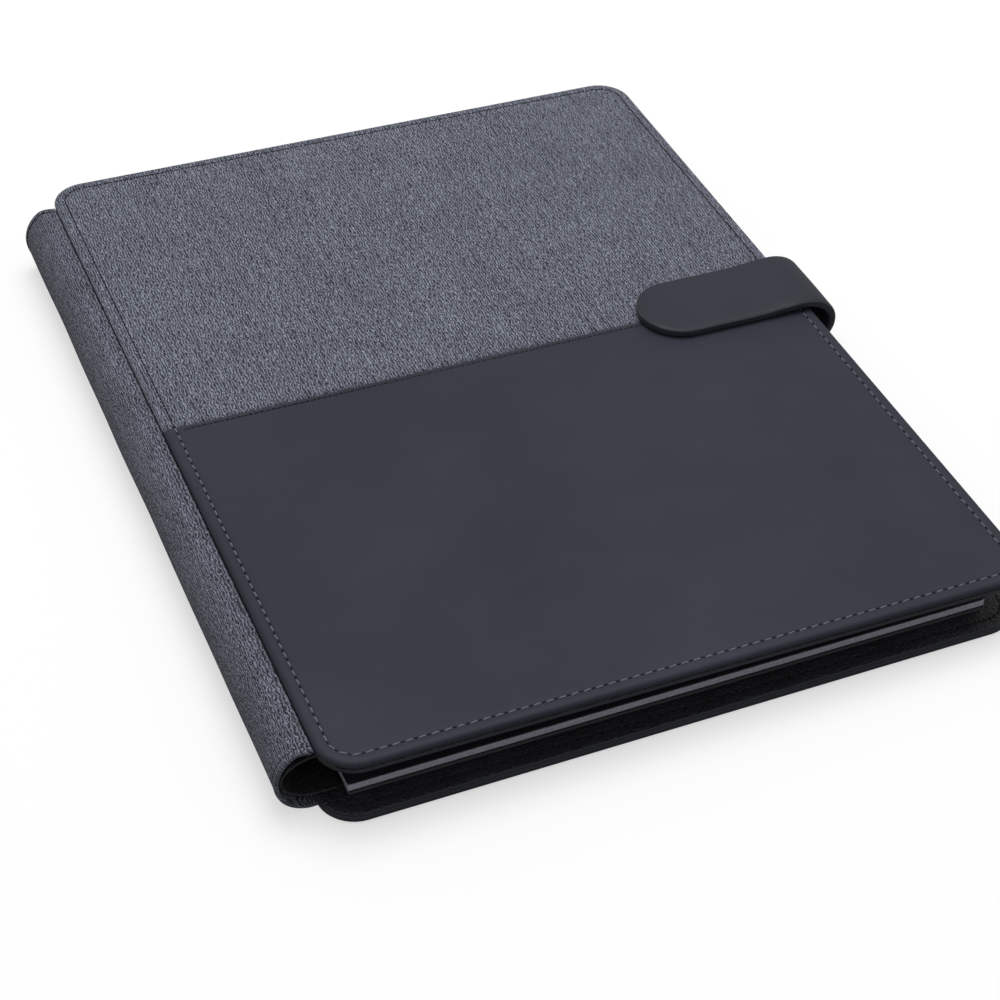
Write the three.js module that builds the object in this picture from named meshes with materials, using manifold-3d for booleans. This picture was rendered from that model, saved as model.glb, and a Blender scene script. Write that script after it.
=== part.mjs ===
// A4 compendium portfolio: two padded covers on a soft spine, a notepad inside and a magnetic strap.
// Millimetres. X runs from the spine to the open side, Y from the front end to the back end, Z up.
import * as THREE from 'three';
import { mergeVertices } from 'three/addons/utils/BufferGeometryUtils.js';
import Module from 'manifold-3d';

const wasm = await Module();
wasm.setup();

// Driving sizes

// Running gap kept between pieces that touch
const clearance = 0.3;
// Gap between glued or sewn layers
const layerGap = 0.2;

// A4 notepad, and the margins of the cover round it
const padWidth = 210;
const padLength = 297;
const padLeft = 8.5;
const padRightMargin = 11.5;
const padFront = 8;
const padBackMargin = 3;

// One cover, seen from above
const coverWidth = padLeft + padWidth + padRightMargin;
const coverLength = padFront + padLength + padBackMargin;
const coverCorner = 12;
const coverThickness = 4;
const coverEdgeRadius = 1.8;

// Closed case: height at the spine, and how far the front cover sinks towards the open side
const closedHeight = 25;
const openSideDrop = 2.4;

// Layers of a cover
const skinThickness = 0.9;
const skinRim = 1.3;
const liningThickness = 0.8;
const liningSetback = 0.4;

// The smooth panel on the near part of the front cover
const seamY = 158.5;
const smoothRaise = 0.4;

// Spine gusset and its lining
const spineBulge = 12;
const spineEndInset = 11;
const spineThickness = 1.2;
const spineLiningThickness = 0.9;
const spineFlange = 34;

// Layers of the notepad
const padBoardThickness = 1;
const paperThickness = 2.2;
const padCoverThickness = 0.4;
const padCorner = 1;
const tapeThickness = 0.2;
const tapeReach = 18;

// Slot panel that the pad's backing board slides under
const padSlotFront = 50;
const padSlotLength = 80;
const padSlotThickness = 0.5;
const padSlotMargin = 4;

// Document pocket and card slots inside the front cover
const pocketLeft = 38;
const pocketMargin = 8;
const pocketThickness = 0.6;
const thumbNotchRadius = 14;
const cardSlotCount = 3;
const cardSlotWidth = 96;
const cardSlotHeight = 54;
const cardSlotStep = 14;
const cardSlotThickness = 0.6;
const cardSlotRight = 14;
const cardSlotBack = 24;

// Pen loop beside the pad
const penBore = 8;
const penLoopThickness = 1;
const penLoopLength = 30;
const penLoopFoot = 3;
const penLoopY = 206;

// Magnetic strap
const strapWidth = 29;
const strapThickness = 3;
const strapReach = 60;
const strapBulge = 6.8;
const strapCurve = 10.5;
const strapLift = 1;
const strapLiftRun = 18;
const strapAnchorGap = 2.5;
const magnetRadius = 7;
const magnetThickness = 1;
const strapSplit = 0.4;

// Roundness of curves, as segments in a quarter turn
const quarterSegments = 6;

// Derived levels

const backLiningTop = coverThickness;
const frontUnderside = closedHeight - coverThickness;
const frontSlope = Math.asin(openSideDrop / coverWidth);
const padBoardZ = backLiningTop + tapeThickness + layerGap;
const padSlotZ = padBoardZ + padBoardThickness + layerGap;
const paperZ = padSlotZ + padSlotThickness + layerGap;
const padCoverZ = paperZ + paperThickness + layerGap;
const padTopZ = padCoverZ + padCoverThickness;

const colours = {
  smooth: 0x3d4149,
  fabric: 0x5c606c,
  lining: 0x1c1d20,
  board: 0x8d7f6a,
  greyboard: 0x85868b,
  paper: 0xdcdce2,
  padCover: 0x26272b,
  tape: 0x2d2f36,
  steel: 0xa9adb3,
  elastic: 0x17181b,
};

// Helpers

function toManifold(geometry) {
  const bare = geometry.clone();
  bare.deleteAttribute('normal');
  bare.deleteAttribute('uv');
  const merged = mergeVertices(bare, 1e-5);
  return new wasm.Manifold(new wasm.Mesh({
    numProp: 3,
    vertProperties: new Float32Array(merged.attributes.position.array),
    triVerts: new Uint32Array(merged.index.array),
  }));
}

function toGeometry(solid) {
  const mesh = solid.getMesh();
  const geometry = new THREE.BufferGeometry();
  geometry.setAttribute('position', new THREE.BufferAttribute(new Float32Array(mesh.vertProperties), 3));
  geometry.setIndex(new THREE.BufferAttribute(new Uint32Array(mesh.triVerts), 1));
  geometry.computeVertexNormals();
  return geometry;
}

function roundedRectangle(x, y, width, length, radius) {
  const shape = new THREE.Shape();
  shape.moveTo(x + radius, y);
  shape.lineTo(x + width - radius, y);
  shape.absarc(x + width - radius, y + radius, radius, -Math.PI / 2, 0);
  shape.lineTo(x + width, y + length - radius);
  shape.absarc(x + width - radius, y + length - radius, radius, 0, Math.PI / 2);
  shape.lineTo(x + radius, y + length);
  shape.absarc(x + radius, y + length - radius, radius, Math.PI / 2, Math.PI);
  shape.lineTo(x, y + radius);
  shape.absarc(x + radius, y + radius, radius, Math.PI, Math.PI * 1.5);
  return shape;
}

// A flat sheet with a rounded-rectangle outline, from height z up
function sheet(x, y, width, length, radius, z, thickness) {
  const outline = roundedRectangle(x, y, width, length, radius);
  const geometry = new THREE.ExtrudeGeometry(outline, {
    depth: thickness,
    bevelEnabled: false,
    curveSegments: quarterSegments,
  });
  geometry.translate(0, 0, z);
  return geometry;
}

// A slab the size of a cover with fully rounded edges, its underside at z = 0
function roundedSlab(thickness) {
  const inset = coverEdgeRadius;
  const outline = roundedRectangle(
    inset, inset, coverWidth - 2 * inset, coverLength - 2 * inset, coverCorner - inset,
  );
  const geometry = new THREE.ExtrudeGeometry(outline, {
    depth: thickness - 2 * coverEdgeRadius,
    bevelThickness: coverEdgeRadius,
    bevelSize: coverEdgeRadius,
    bevelSegments: 4,
    curveSegments: quarterSegments,
  });
  geometry.translate(0, 0, coverEdgeRadius);
  return geometry;
}

// A sheet inset evenly from the cover's outline
function insetSheet(inset, z, thickness) {
  return sheet(
    inset, inset, coverWidth - 2 * inset, coverLength - 2 * inset, coverCorner - inset, z, thickness,
  );
}

function box(x0, y0, z0, x1, y1, z1) {
  const geometry = new THREE.BoxGeometry(x1 - x0, y1 - y0, z1 - z0);
  geometry.translate((x0 + x1) / 2, (y0 + y1) / 2, (z0 + z1) / 2);
  return geometry;
}

function disc(radius, x, y, z, thickness) {
  const geometry = new THREE.CylinderGeometry(radius, radius, thickness, 4 * quarterSegments);
  geometry.rotateX(Math.PI / 2);
  geometry.translate(x, y, z + thickness / 2);
  return geometry;
}

// Extrudes a profile drawn in X and Z along Y, from y0 for the given length
function extrudeAlongY(profile, y0, length) {
  const geometry = new THREE.ExtrudeGeometry(profile, {
    depth: length,
    bevelEnabled: false,
    curveSegments: 2 * quarterSegments,
  });
  geometry.rotateX(Math.PI / 2);
  geometry.translate(0, y0 + length, 0);
  return geometry;
}

// A band of even thickness on both sides of a path in X and Z
function band(path, thickness) {
  const left = [];
  const right = [];
  path.forEach((point, index) => {
    const before = path[Math.max(index - 1, 0)];
    const after = path[Math.min(index + 1, path.length - 1)];
    const along = new THREE.Vector2().subVectors(after, before).normalize();
    const across = new THREE.Vector2(-along.y, along.x).multiplyScalar(thickness / 2);
    left.push(new THREE.Vector2().addVectors(point, across));
    right.unshift(new THREE.Vector2().subVectors(point, across));
  });
  return new THREE.Shape([...left, ...right]);
}

// Points of an elliptical arc, without its first point
function arcPoints(centreX, centreZ, radiusX, radiusZ, startDegrees, endDegrees, steps) {
  const points = [];
  for (let step = 1; step <= steps; step += 1) {
    const angle = THREE.MathUtils.degToRad(startDegrees + (endDegrees - startDegrees) * step / steps);
    points.push(new THREE.Vector2(
      centreX + radiusX * Math.cos(angle),
      centreZ + radiusZ * Math.sin(angle),
    ));
  }
  return points;
}

function piece(name, geometry, colour, roughness = 0.8, metalness = 0) {
  const material = new THREE.MeshStandardMaterial({ color: colour, roughness, metalness });
  const mesh = new THREE.Mesh(geometry, material);
  mesh.name = name;
  return mesh;
}

// Covers: a skin with a rounded rim round a board, and a lining sewn on as the inner face.
// Each is built with its inner face at z = 0 and its outer face up.

const boardInset = skinRim + layerGap;
const boardZ = liningThickness + layerGap;
const boardTop = coverThickness - skinThickness - layerGap;
const boardThickness = boardTop - boardZ;

function coverSkin(raise) {
  const slab = toManifold(roundedSlab(coverThickness + raise));
  const boardSpace = toManifold(insetSheet(skinRim, 0, boardTop + layerGap));
  const liningSpace = toManifold(box(-reach, -reach, -reach, reach, reach, boardZ));
  return slab.subtract(boardSpace).subtract(liningSpace);
}

function coverBoard() {
  return insetSheet(boardInset, boardZ, boardThickness);
}

function coverLining() {
  return insetSheet(liningSetback, 0, liningThickness);
}

const strapTipX = coverWidth - strapReach;
const magnetX = strapTipX + strapWidth / 2;
const reach = coverWidth + coverLength;

function frontCover() {
  const group = new THREE.Group();
  const nearHalf = toManifold(box(-reach, -reach, -reach, reach, seamY, reach));
  const farHalf = toManifold(box(-reach, seamY + layerGap, -reach, reach, reach, reach));
  const smooth = coverSkin(smoothRaise).intersect(nearHalf);
  const fabric = coverSkin(0).intersect(farHalf);
  group.add(piece('front_smooth_panel', toGeometry(smooth), colours.smooth, 0.55));
  group.add(piece('front_fabric_panel', toGeometry(fabric), colours.fabric, 0.9));

  const keeperZ = boardTop - magnetThickness;
  const keeperHole = disc(magnetRadius + layerGap, magnetX, seamY, keeperZ - layerGap, reach);
  const board = toManifold(coverBoard()).subtract(toManifold(keeperHole));
  group.add(piece('front_board', toGeometry(board), colours.board, 0.9));
  const keeper = disc(magnetRadius, magnetX, seamY, keeperZ, magnetThickness);
  group.add(piece('front_keeper_plate', keeper, colours.steel, 0.4, 0.9));
  group.add(piece('front_lining', coverLining(), colours.lining, 0.7));
  group.add(documentPocket());
  cardSlots().forEach((slot) => group.add(slot));
  return group;
}

// A pocket panel sewn to the lining, with a half-round thumb notch in its open edge by the spine
function documentPocket() {
  const width = coverWidth - pocketLeft - pocketMargin;
  const length = coverLength - 2 * pocketMargin;
  const z = -clearance - pocketThickness;
  const panel = sheet(pocketLeft, pocketMargin, width, length, coverCorner / 2, z, pocketThickness);
  const notch = disc(thumbNotchRadius, pocketLeft, coverLength / 2, z - 1, pocketThickness + 2);
  const cut = toManifold(panel).subtract(toManifold(notch));
  return piece('front_document_pocket', toGeometry(cut), colours.lining, 0.7);
}

// Card slots overlap like shingles, the lowest one on top
function cardSlots() {
  const x = coverWidth - cardSlotRight - cardSlotWidth;
  const backEdge = coverLength - cardSlotBack;
  const slots = [];
  for (let index = 0; index < cardSlotCount; index += 1) {
    const length = cardSlotHeight + (cardSlotCount - 1 - index) * cardSlotStep;
    const y = backEdge - cardSlotHeight - (cardSlotCount - 1) * cardSlotStep;
    const z = -clearance - pocketThickness - (index + 1) * (layerGap + cardSlotThickness);
    const panel = sheet(x, y, cardSlotWidth, length, 2, z, cardSlotThickness);
    slots.push(piece(`card_slot_${index + 1}`, panel, colours.lining, 0.7));
  }
  return slots;
}

function backCover() {
  const group = new THREE.Group();
  group.add(piece('back_panel', toGeometry(coverSkin(0)), colours.smooth, 0.55));
  group.add(piece('back_board', coverBoard(), colours.board, 0.9));
  group.add(piece('back_lining', coverLining(), colours.lining, 0.7));
  return group;
}

// Spine: an outer gusset that bulges past the covers, and a lining with a flange along each cover

function spineGusset() {
  const height = closedHeight / 2 - layerGap;
  const innerX = -clearance;
  const radiusX = spineBulge - clearance - spineThickness / 2;
  const radiusZ = height - spineThickness / 2;
  const path = [
    new THREE.Vector2(innerX, closedHeight / 2 + radiusZ),
    ...arcPoints(innerX, closedHeight / 2, radiusX, radiusZ, 90, 270, 4 * quarterSegments),
  ];
  const geometry = extrudeAlongY(
    band(path, spineThickness), spineEndInset, coverLength - 2 * spineEndInset,
  );
  return piece('spine_gusset', geometry, colours.fabric, 0.9);
}

function spineLining() {
  const top = frontUnderside - clearance - spineLiningThickness / 2;
  const bottom = backLiningTop + clearance + spineLiningThickness / 2;
  const middle = (top + bottom) / 2;
  const radiusX = spineBulge - spineThickness - clearance - spineLiningThickness / 2;
  const start = coverEdgeRadius;
  const drop = spineFlange * Math.tan(frontSlope);
  const path = [
    new THREE.Vector2(spineFlange, top - drop),
    new THREE.Vector2(start, top),
    ...arcPoints(start, middle, radiusX + start, (top - bottom) / 2, 90, 270, 4 * quarterSegments),
    new THREE.Vector2(padLeft - clearance, bottom),
  ];
  const geometry = extrudeAlongY(
    band(path, spineLiningThickness), spineEndInset, coverLength - 2 * spineEndInset,
  );
  return piece('spine_lining', geometry, colours.lining, 0.7);
}

// Pen loop: a band of elastic sewn down beside the pad
function penLoop() {
  const outer = penBore / 2 + penLoopThickness;
  const floorZ = backLiningTop + 2 * clearance + spineLiningThickness;
  const centreX = padLeft - clearance - outer;
  const ring = new THREE.Shape();
  ring.absarc(centreX, floorZ + outer, outer, 0, Math.PI * 2);
  const bore = new THREE.Path();
  bore.absarc(centreX, floorZ + outer, penBore / 2, 0, Math.PI * 2);
  ring.holes.push(bore);
  const foot = box(
    centreX - penLoopFoot, penLoopY, floorZ, centreX + penLoopFoot, penLoopY + penLoopLength,
    floorZ + penLoopThickness,
  );
  const hoop = extrudeAlongY(ring, penLoopY, penLoopLength);
  const solid = toManifold(hoop).add(toManifold(foot));
  return piece('pen_loop', toGeometry(solid), colours.elastic, 0.85);
}

// Notepad: backing board under the slot panel, paper and a cover sheet above it, tape round the back end

function notepad() {
  const group = new THREE.Group();
  const board = sheet(padLeft, padFront, padWidth, padLength, padCorner, padBoardZ, padBoardThickness);
  group.add(piece('pad_backing_board', board, colours.greyboard, 0.9));
  const paper = sheet(padLeft, padFront, padWidth, padLength, padCorner, paperZ, paperThickness);
  group.add(piece('pad_paper', paper, colours.paper, 0.9));
  const cover = sheet(padLeft, padFront, padWidth, padLength, padCorner, padCoverZ, padCoverThickness);
  group.add(piece('pad_cover_sheet', cover, colours.padCover, 0.8));
  group.add(padTape());
  group.add(padSlot());
  return group;
}

function padTape() {
  const padBack = padFront + padLength;
  const inner = box(
    padLeft - layerGap, padBack - tapeReach - 1, padBoardZ - layerGap / 2,
    padLeft + padWidth + layerGap, padBack + layerGap, padTopZ + layerGap,
  );
  const outer = box(
    padLeft, padBack - tapeReach, padBoardZ - layerGap / 2 - tapeThickness,
    padLeft + padWidth, padBack + layerGap + tapeThickness, padTopZ + layerGap + tapeThickness,
  );
  const solid = toManifold(outer).subtract(toManifold(inner));
  return piece('pad_binding_tape', toGeometry(solid), colours.tape, 0.7);
}

// Flat on the spine lining at its left end, stepped down to the back lining at its right end
function padSlot() {
  const half = padSlotThickness / 2;
  const padRight = padLeft + padWidth;
  const path = [
    new THREE.Vector2(padLeft - padSlotMargin, padSlotZ + half),
    new THREE.Vector2(padRight + layerGap, padSlotZ + half),
    new THREE.Vector2(padRight + layerGap + padSlotMargin / 2, backLiningTop + layerGap + half),
    new THREE.Vector2(padRight + 2 * padSlotMargin, backLiningTop + layerGap + half),
  ];
  const panel = extrudeAlongY(band(path, padSlotThickness), padSlotFront, padSlotLength);
  return piece('pad_slot_panel', panel, colours.lining, 0.7);
}

// Strap: sewn to the back lining, round the open side and flat over the front cover.
// It flexes at the outermost point of its curve, where the fixed and moving stretches meet.

const strapBendX = coverWidth + strapBulge - strapCurve;
const strapTopZ = strapRestZ(strapBendX) + strapLift;
const strapBottomZ = backLiningTop + clearance;
const strapFlexX = coverWidth + strapBulge - strapThickness / 2;
const strapFlexZ = (strapTopZ + strapBottomZ + strapThickness) / 2;

// Height of the underside of the strap where it lies on the sloping front cover
function strapRestZ(x) {
  return closedHeight + smoothRaise + clearance - x * Math.tan(frontSlope);
}

// Centre line of one strap layer, offset inwards or outwards from the middle of the strap
function strapTopPath(offset) {
  const half = strapThickness / 2;
  return [
    new THREE.Vector2(strapTipX - 1, strapRestZ(strapTipX - 1) + half + offset),
    new THREE.Vector2(strapBendX - strapLiftRun, strapRestZ(strapBendX - strapLiftRun) + half + offset),
    new THREE.Vector2(strapBendX, strapTopZ + half + offset),
    ...arcPoints(
      strapBendX, strapFlexZ, strapCurve - half + offset,
      strapTopZ + half + offset - strapFlexZ, 90, 0, 2 * quarterSegments,
    ),
  ];
}

function strapBottomPath() {
  const half = strapThickness / 2;
  const radiusZ = strapFlexZ - strapBottomZ - half;
  return [
    new THREE.Vector2(strapFlexX, strapFlexZ),
    ...arcPoints(strapBendX, strapFlexZ, strapCurve - half, radiusZ, 0, -90, 2 * quarterSegments),
    new THREE.Vector2(padLeft + padWidth + strapAnchorGap, strapBottomZ + half),
  ];
}

function strap() {
  const group = new THREE.Group();
  const y0 = seamY - strapWidth / 2;
  const tip = new THREE.Shape();
  const right = coverWidth + 2 * strapCurve;
  tip.moveTo(right, y0);
  tip.lineTo(right, y0 + strapWidth);
  tip.lineTo(magnetX, y0 + strapWidth);
  tip.absarc(magnetX, seamY, strapWidth / 2, Math.PI / 2, Math.PI * 1.5);
  const plan = new THREE.ExtrudeGeometry(tip, {
    depth: 2 * closedHeight,
    bevelEnabled: false,
    curveSegments: 2 * quarterSegments,
  });
  plan.translate(0, 0, strapFlexZ + strapSplit / 2);
  const outline = toManifold(plan);

  const layer = (strapThickness - layerGap) / 2;
  const offset = (layer + layerGap) / 2;
  const magnetZ = strapRestZ(magnetX) + (strapThickness - magnetThickness) / 2;
  const pocket = toManifold(disc(
    magnetRadius + layerGap, magnetX, seamY, magnetZ - layerGap, magnetThickness + 2 * layerGap,
  ));
  const outer = toManifold(extrudeAlongY(band(strapTopPath(offset), layer), y0, strapWidth));
  const inner = toManifold(extrudeAlongY(band(strapTopPath(-offset), layer), y0, strapWidth));
  const outerCut = outer.intersect(outline).subtract(pocket);
  const innerCut = inner.intersect(outline).subtract(pocket);
  group.add(piece('strap_outer', toGeometry(outerCut), colours.smooth, 0.55));
  group.add(piece('strap_lining', toGeometry(innerCut), colours.lining, 0.7));
  const magnet = disc(magnetRadius, magnetX, seamY, magnetZ, magnetThickness);
  group.add(piece('strap_magnet', magnet, colours.steel, 0.4, 0.9));
  return group;
}

function strapAnchor() {
  const y0 = seamY - strapWidth / 2;
  const whole = toManifold(extrudeAlongY(band(strapBottomPath(), strapThickness), y0, strapWidth));
  const below = toManifold(box(-reach, -reach, -reach, reach, reach, strapFlexZ - strapSplit / 2));
  return piece('strap_anchor', toGeometry(whole.intersect(below)), colours.smooth, 0.55);
}

// Assembly: the middle of the closed case stands over the origin

const part = new THREE.Group();
const centreX = (coverWidth + strapBulge - spineBulge) / 2;
part.position.set(-centreX, -coverLength / 2, 0);

const back = backCover();
back.rotation.x = Math.PI;
back.position.set(0, coverLength, coverThickness);
part.add(back);

part.add(notepad());
part.add(spineGusset());
part.add(spineLining());
part.add(penLoop());
part.add(strapAnchor());

const front = frontCover();
front.position.set(0, 0, frontUnderside);
front.rotation.y = frontSlope;
part.add(front);

part.add(strap());

export default part;
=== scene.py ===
import math
import random

import bmesh
import bpy
import numpy as np
from mathutils import Matrix, Vector
from mathutils import noise as perlin


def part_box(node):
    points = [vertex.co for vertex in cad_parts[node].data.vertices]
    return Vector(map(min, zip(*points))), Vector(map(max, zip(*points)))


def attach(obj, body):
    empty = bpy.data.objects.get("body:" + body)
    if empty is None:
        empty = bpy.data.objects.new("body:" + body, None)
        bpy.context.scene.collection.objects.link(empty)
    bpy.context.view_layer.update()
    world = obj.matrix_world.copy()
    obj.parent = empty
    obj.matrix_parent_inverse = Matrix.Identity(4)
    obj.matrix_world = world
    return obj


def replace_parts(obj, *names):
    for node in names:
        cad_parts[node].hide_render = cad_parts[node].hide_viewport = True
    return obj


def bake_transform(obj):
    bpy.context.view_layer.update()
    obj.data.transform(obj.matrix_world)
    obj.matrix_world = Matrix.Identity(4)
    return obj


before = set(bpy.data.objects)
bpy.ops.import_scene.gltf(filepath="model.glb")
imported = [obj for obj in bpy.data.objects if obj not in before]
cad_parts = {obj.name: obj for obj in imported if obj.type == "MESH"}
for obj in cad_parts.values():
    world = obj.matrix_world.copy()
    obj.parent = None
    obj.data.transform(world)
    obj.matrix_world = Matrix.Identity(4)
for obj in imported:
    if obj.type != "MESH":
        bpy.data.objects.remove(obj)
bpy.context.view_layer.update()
chance = random.Random(11)

MM = 0.001

# Sizes in millimetres, from the covers' left front corner on the table
PANEL_LOW, PANEL_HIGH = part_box("back_panel")
LEFT = PANEL_LOW[0]
FRONT = PANEL_LOW[1]
WIDTH = (PANEL_HIGH[0] - LEFT) / MM
LENGTH = (PANEL_HIGH[1] - FRONT) / MM
SEAM = (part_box("front_smooth_panel")[1][1] - FRONT) / MM

CORNER = 12.0
COVER_THICKNESS = 4.0
CLOSED_HEIGHT = 25.0
OPEN_SIDE_DROP = 2.4
SLOPE = math.asin(OPEN_SIDE_DROP / WIDTH)
FRONT_UNDERSIDE = CLOSED_HEIGHT - COVER_THICKNESS
SMOOTH_RAISE = 0.35

# Rows of stitches along the covers' edges, and the height of the groove that they lie in
STITCH_INSET = 3.9
STITCH_PITCH = 3.9
STITCH_LENGTH = 2.5
STITCH_SLANT = math.radians(6)
VALLEY = 3.64

# Distance of the row that holds the smooth panel's folded edge from that edge
SEAM_ROW = 1.8


# Places

def on_base(x, y, z):
    """Millimetres from the covers' left front corner on the table."""
    return Vector((LEFT + x * MM, FRONT + y * MM, z * MM))


def on_back(x, y, z):
    """Millimetres on the back cover; z runs down from its inner face."""
    return on_base(x, y, COVER_THICKNESS - z)


def on_front(x, y, z):
    """Millimetres on the front cover; z runs up from its inner face."""
    turned_x = x * math.cos(SLOPE) + z * math.sin(SLOPE)
    turned_z = z * math.cos(SLOPE) - x * math.sin(SLOPE)
    return on_base(turned_x, y, FRONT_UNDERSIDE + turned_z)


# Colours, written as sRGB values

def srgb(red, green, blue):
    def linear(value):
        value /= 255
        return value / 12.92 if value <= 0.04045 else ((value + 0.055) / 1.055) ** 2.4
    return (linear(red), linear(green), linear(blue), 1.0)


SMOOTH = srgb(36, 40, 50)
SMOOTH_LIGHT = srgb(49, 53, 63)
STRAP = srgb(31, 35, 45)
STRAP_LIGHT = srgb(38, 43, 53)
FABRIC_DARK = srgb(26, 28, 36)
FABRIC_MID = srgb(76, 79, 91)
FABRIC_LIGHT = srgb(145, 149, 163)
# The spine's cloth is darker than the covers' cloth by this share: painted shade, as the spine faces sideways
# and gets less light.
SPINE_PAINTED_SHADE = 0.82
LINING = srgb(23, 24, 28)
LINING_LIGHT = srgb(36, 38, 43)
THREAD = srgb(90, 94, 104)
THREAD_LIGHT = srgb(116, 120, 130)
THREAD_DARK = srgb(36, 38, 44)
THREAD_BLACK = srgb(26, 27, 30)
# The pad's paper is coloured darker than white paper: painted shade, as it lies under the front cover.
PAPER_PAINTED_SHADE = srgb(160, 160, 172)
# The pad's backing board is coloured darker than its own grey: painted shade under the front cover.
GREYBOARD_PAINTED_SHADE = srgb(60, 61, 65)
TAPE = srgb(46, 48, 55)
STEEL = srgb(172, 176, 182)
FLOOR = srgb(254, 254, 254)
FLOOR_BOUNCE = srgb(137, 137, 139)
FLOOR_GLOW = 0.58


def darkened_as_painted_shade(colour, share):
    """The same colour, darker, as painted shade."""
    return tuple(value * share for value in colour[:3]) + (1.0,)


# Materials

class Nodes:
    """A short way to write a node tree."""

    def __init__(self, name):
        self.material = bpy.data.materials.new(name)
        self.material.use_nodes = True
        self.tree = self.material.node_tree
        self.tree.nodes.clear()
        self.output = self.tree.nodes.new("ShaderNodeOutputMaterial")

    def add(self, kind, inputs=None, **settings):
        node = self.tree.nodes.new(kind)
        for key, value in settings.items():
            setattr(node, key, value)
        for key, value in (inputs or {}).items():
            socket = node.inputs[key]
            if isinstance(value, bpy.types.NodeSocket):
                self.tree.links.new(value, socket)
            else:
                socket.default_value = value
        return node

    def math(self, operation, first, second=0.0):
        return self.add("ShaderNodeMath", {0: first, 1: second}, operation=operation).outputs[0]

    def ramp(self, factor, stops):
        node = self.add("ShaderNodeValToRGB", {"Fac": factor})
        ramp = node.color_ramp
        while len(ramp.elements) < len(stops):
            ramp.elements.new(0.5)
        for element, (place, colour) in zip(ramp.elements, stops):
            element.position = place
            element.color = colour
        return node.outputs["Color"]

    def surface(self, shader):
        self.tree.links.new(shader.outputs[0], self.output.inputs["Surface"])
        return self.material


def object_space(nodes, scale=(1, 1, 1)):
    """The object's own coordinates in metres, stretched where the scale is below 1."""
    place = nodes.add("ShaderNodeTexCoord").outputs["Object"]
    return nodes.add("ShaderNodeMapping", {"Vector": place, "Scale": scale}).outputs["Vector"]


def leatherette(name, base, light, grain=1500, bump=0.05, roughness=0.5, cloud=22, specular=0.25):
    """Smooth or grained leatherette: fine pebble, soft clouding, slightly uneven gloss."""
    n = Nodes(name)
    space = object_space(n)
    clouds = n.add("ShaderNodeTexNoise", {"Vector": space, "Scale": cloud, "Detail": 3.0}).outputs[0]
    pebble = n.add("ShaderNodeTexVoronoi", {"Vector": space, "Scale": grain}).outputs["Distance"]
    dust = n.add("ShaderNodeTexNoise", {"Vector": space, "Scale": 2.2 * grain, "Detail": 2.0}).outputs[0]
    tone = n.math("ADD", n.math("MULTIPLY", clouds, 0.7), n.math("MULTIPLY", dust, 0.3))
    colour = n.ramp(tone, [(0.35, base), (0.75, light)])
    rough = n.math("ADD", n.math("MULTIPLY", clouds, 0.12), roughness - 0.06)
    height = n.math("ADD", pebble, n.math("MULTIPLY", dust, 0.5))
    relief = n.add("ShaderNodeBump", {"Height": height, "Strength": bump, "Distance": 0.0004}).outputs[0]
    shader = n.add("ShaderNodeBsdfPrincipled", {
        "Base Color": colour,
        "Roughness": rough,
        "Specular IOR Level": specular,
        "Sheen Weight": 0.04,
        "Normal": relief,
    })
    return n.surface(shader)


def melange(name, dark, mid, light):
    """Upholstery cloth of light and dark yarn: fine broken ribs that run with the length of the case."""
    n = Nodes(name)
    parts = n.add("ShaderNodeSeparateXYZ", {"Vector": object_space(n)}).outputs
    across = n.math("ADD", parts["X"], parts["Z"])
    along = n.math("MULTIPLY", parts["Y"], 0.55)
    cloth = n.add("ShaderNodeCombineXYZ", {"X": across, "Y": along}).outputs[0]
    ribs = n.add("ShaderNodeTexWave", {
        "Vector": cloth, "Scale": 320.0, "Distortion": 7.0, "Detail": 1.0, "Detail Scale": 2.6,
    }).outputs["Fac"]
    flecks = n.add("ShaderNodeTexNoise", {
        "Vector": object_space(n, scale=(1.0, 0.6, 1.0)), "Scale": 4200.0, "Detail": 1.0,
    }).outputs[0]
    clouds = n.add("ShaderNodeTexNoise", {
        "Vector": object_space(n), "Scale": 60.0, "Detail": 2.0,
    }).outputs[0]
    tone = n.math("ADD", n.math("MULTIPLY", ribs, 0.36), n.math("MULTIPLY", flecks, 0.85))
    tone = n.math("ADD", tone, n.math("MULTIPLY", clouds, 0.1))
    tone = n.math("SUBTRACT", tone, 0.155)
    colour = n.ramp(tone, [(0.25, dark), (0.5, mid), (0.75, light)])
    relief = n.add("ShaderNodeBump", {"Height": tone, "Strength": 0.4, "Distance": 0.0003}).outputs[0]
    shader = n.add("ShaderNodeBsdfPrincipled", {
        "Base Color": colour,
        "Roughness": 0.92,
        "Specular IOR Level": 0.12,
        "Sheen Weight": 0.08,
        "Sheen Roughness": 0.6,
        "Normal": relief,
    })
    return n.surface(shader)


def fibre(name, base, light, scale=900, roughness=0.9, stretch=(1, 1, 1), bump=0.2):
    """Paper, board, thread or tape: a fibrous surface of two close tones."""
    n = Nodes(name)
    space = object_space(n, scale=stretch)
    grain = n.add("ShaderNodeTexNoise", {"Vector": space, "Scale": scale, "Detail": 4.0}).outputs[0]
    colour = n.ramp(grain, [(0.3, base), (0.7, light)])
    relief = n.add("ShaderNodeBump", {"Height": grain, "Strength": bump, "Distance": 0.0003}).outputs[0]
    shader = n.add("ShaderNodeBsdfPrincipled", {
        "Base Color": colour,
        "Roughness": roughness,
        "Specular IOR Level": 0.2,
        "Normal": relief,
    })
    return n.surface(shader)


def brushed(name, colour):
    """Plain steel with fine lines along its length."""
    n = Nodes(name)
    space = object_space(n, scale=(1, 30, 1))
    lines = n.add("ShaderNodeTexNoise", {"Vector": space, "Scale": 300.0, "Detail": 3.0}).outputs[0]
    rough = n.math("ADD", n.math("MULTIPLY", lines, 0.25), 0.25)
    relief = n.add("ShaderNodeBump", {"Height": lines, "Strength": 0.1, "Distance": 0.0002}).outputs[0]
    shader = n.add("ShaderNodeBsdfPrincipled", {
        "Base Color": colour, "Roughness": rough, "Metallic": 1.0, "Normal": relief,
    })
    return n.surface(shader)


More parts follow.
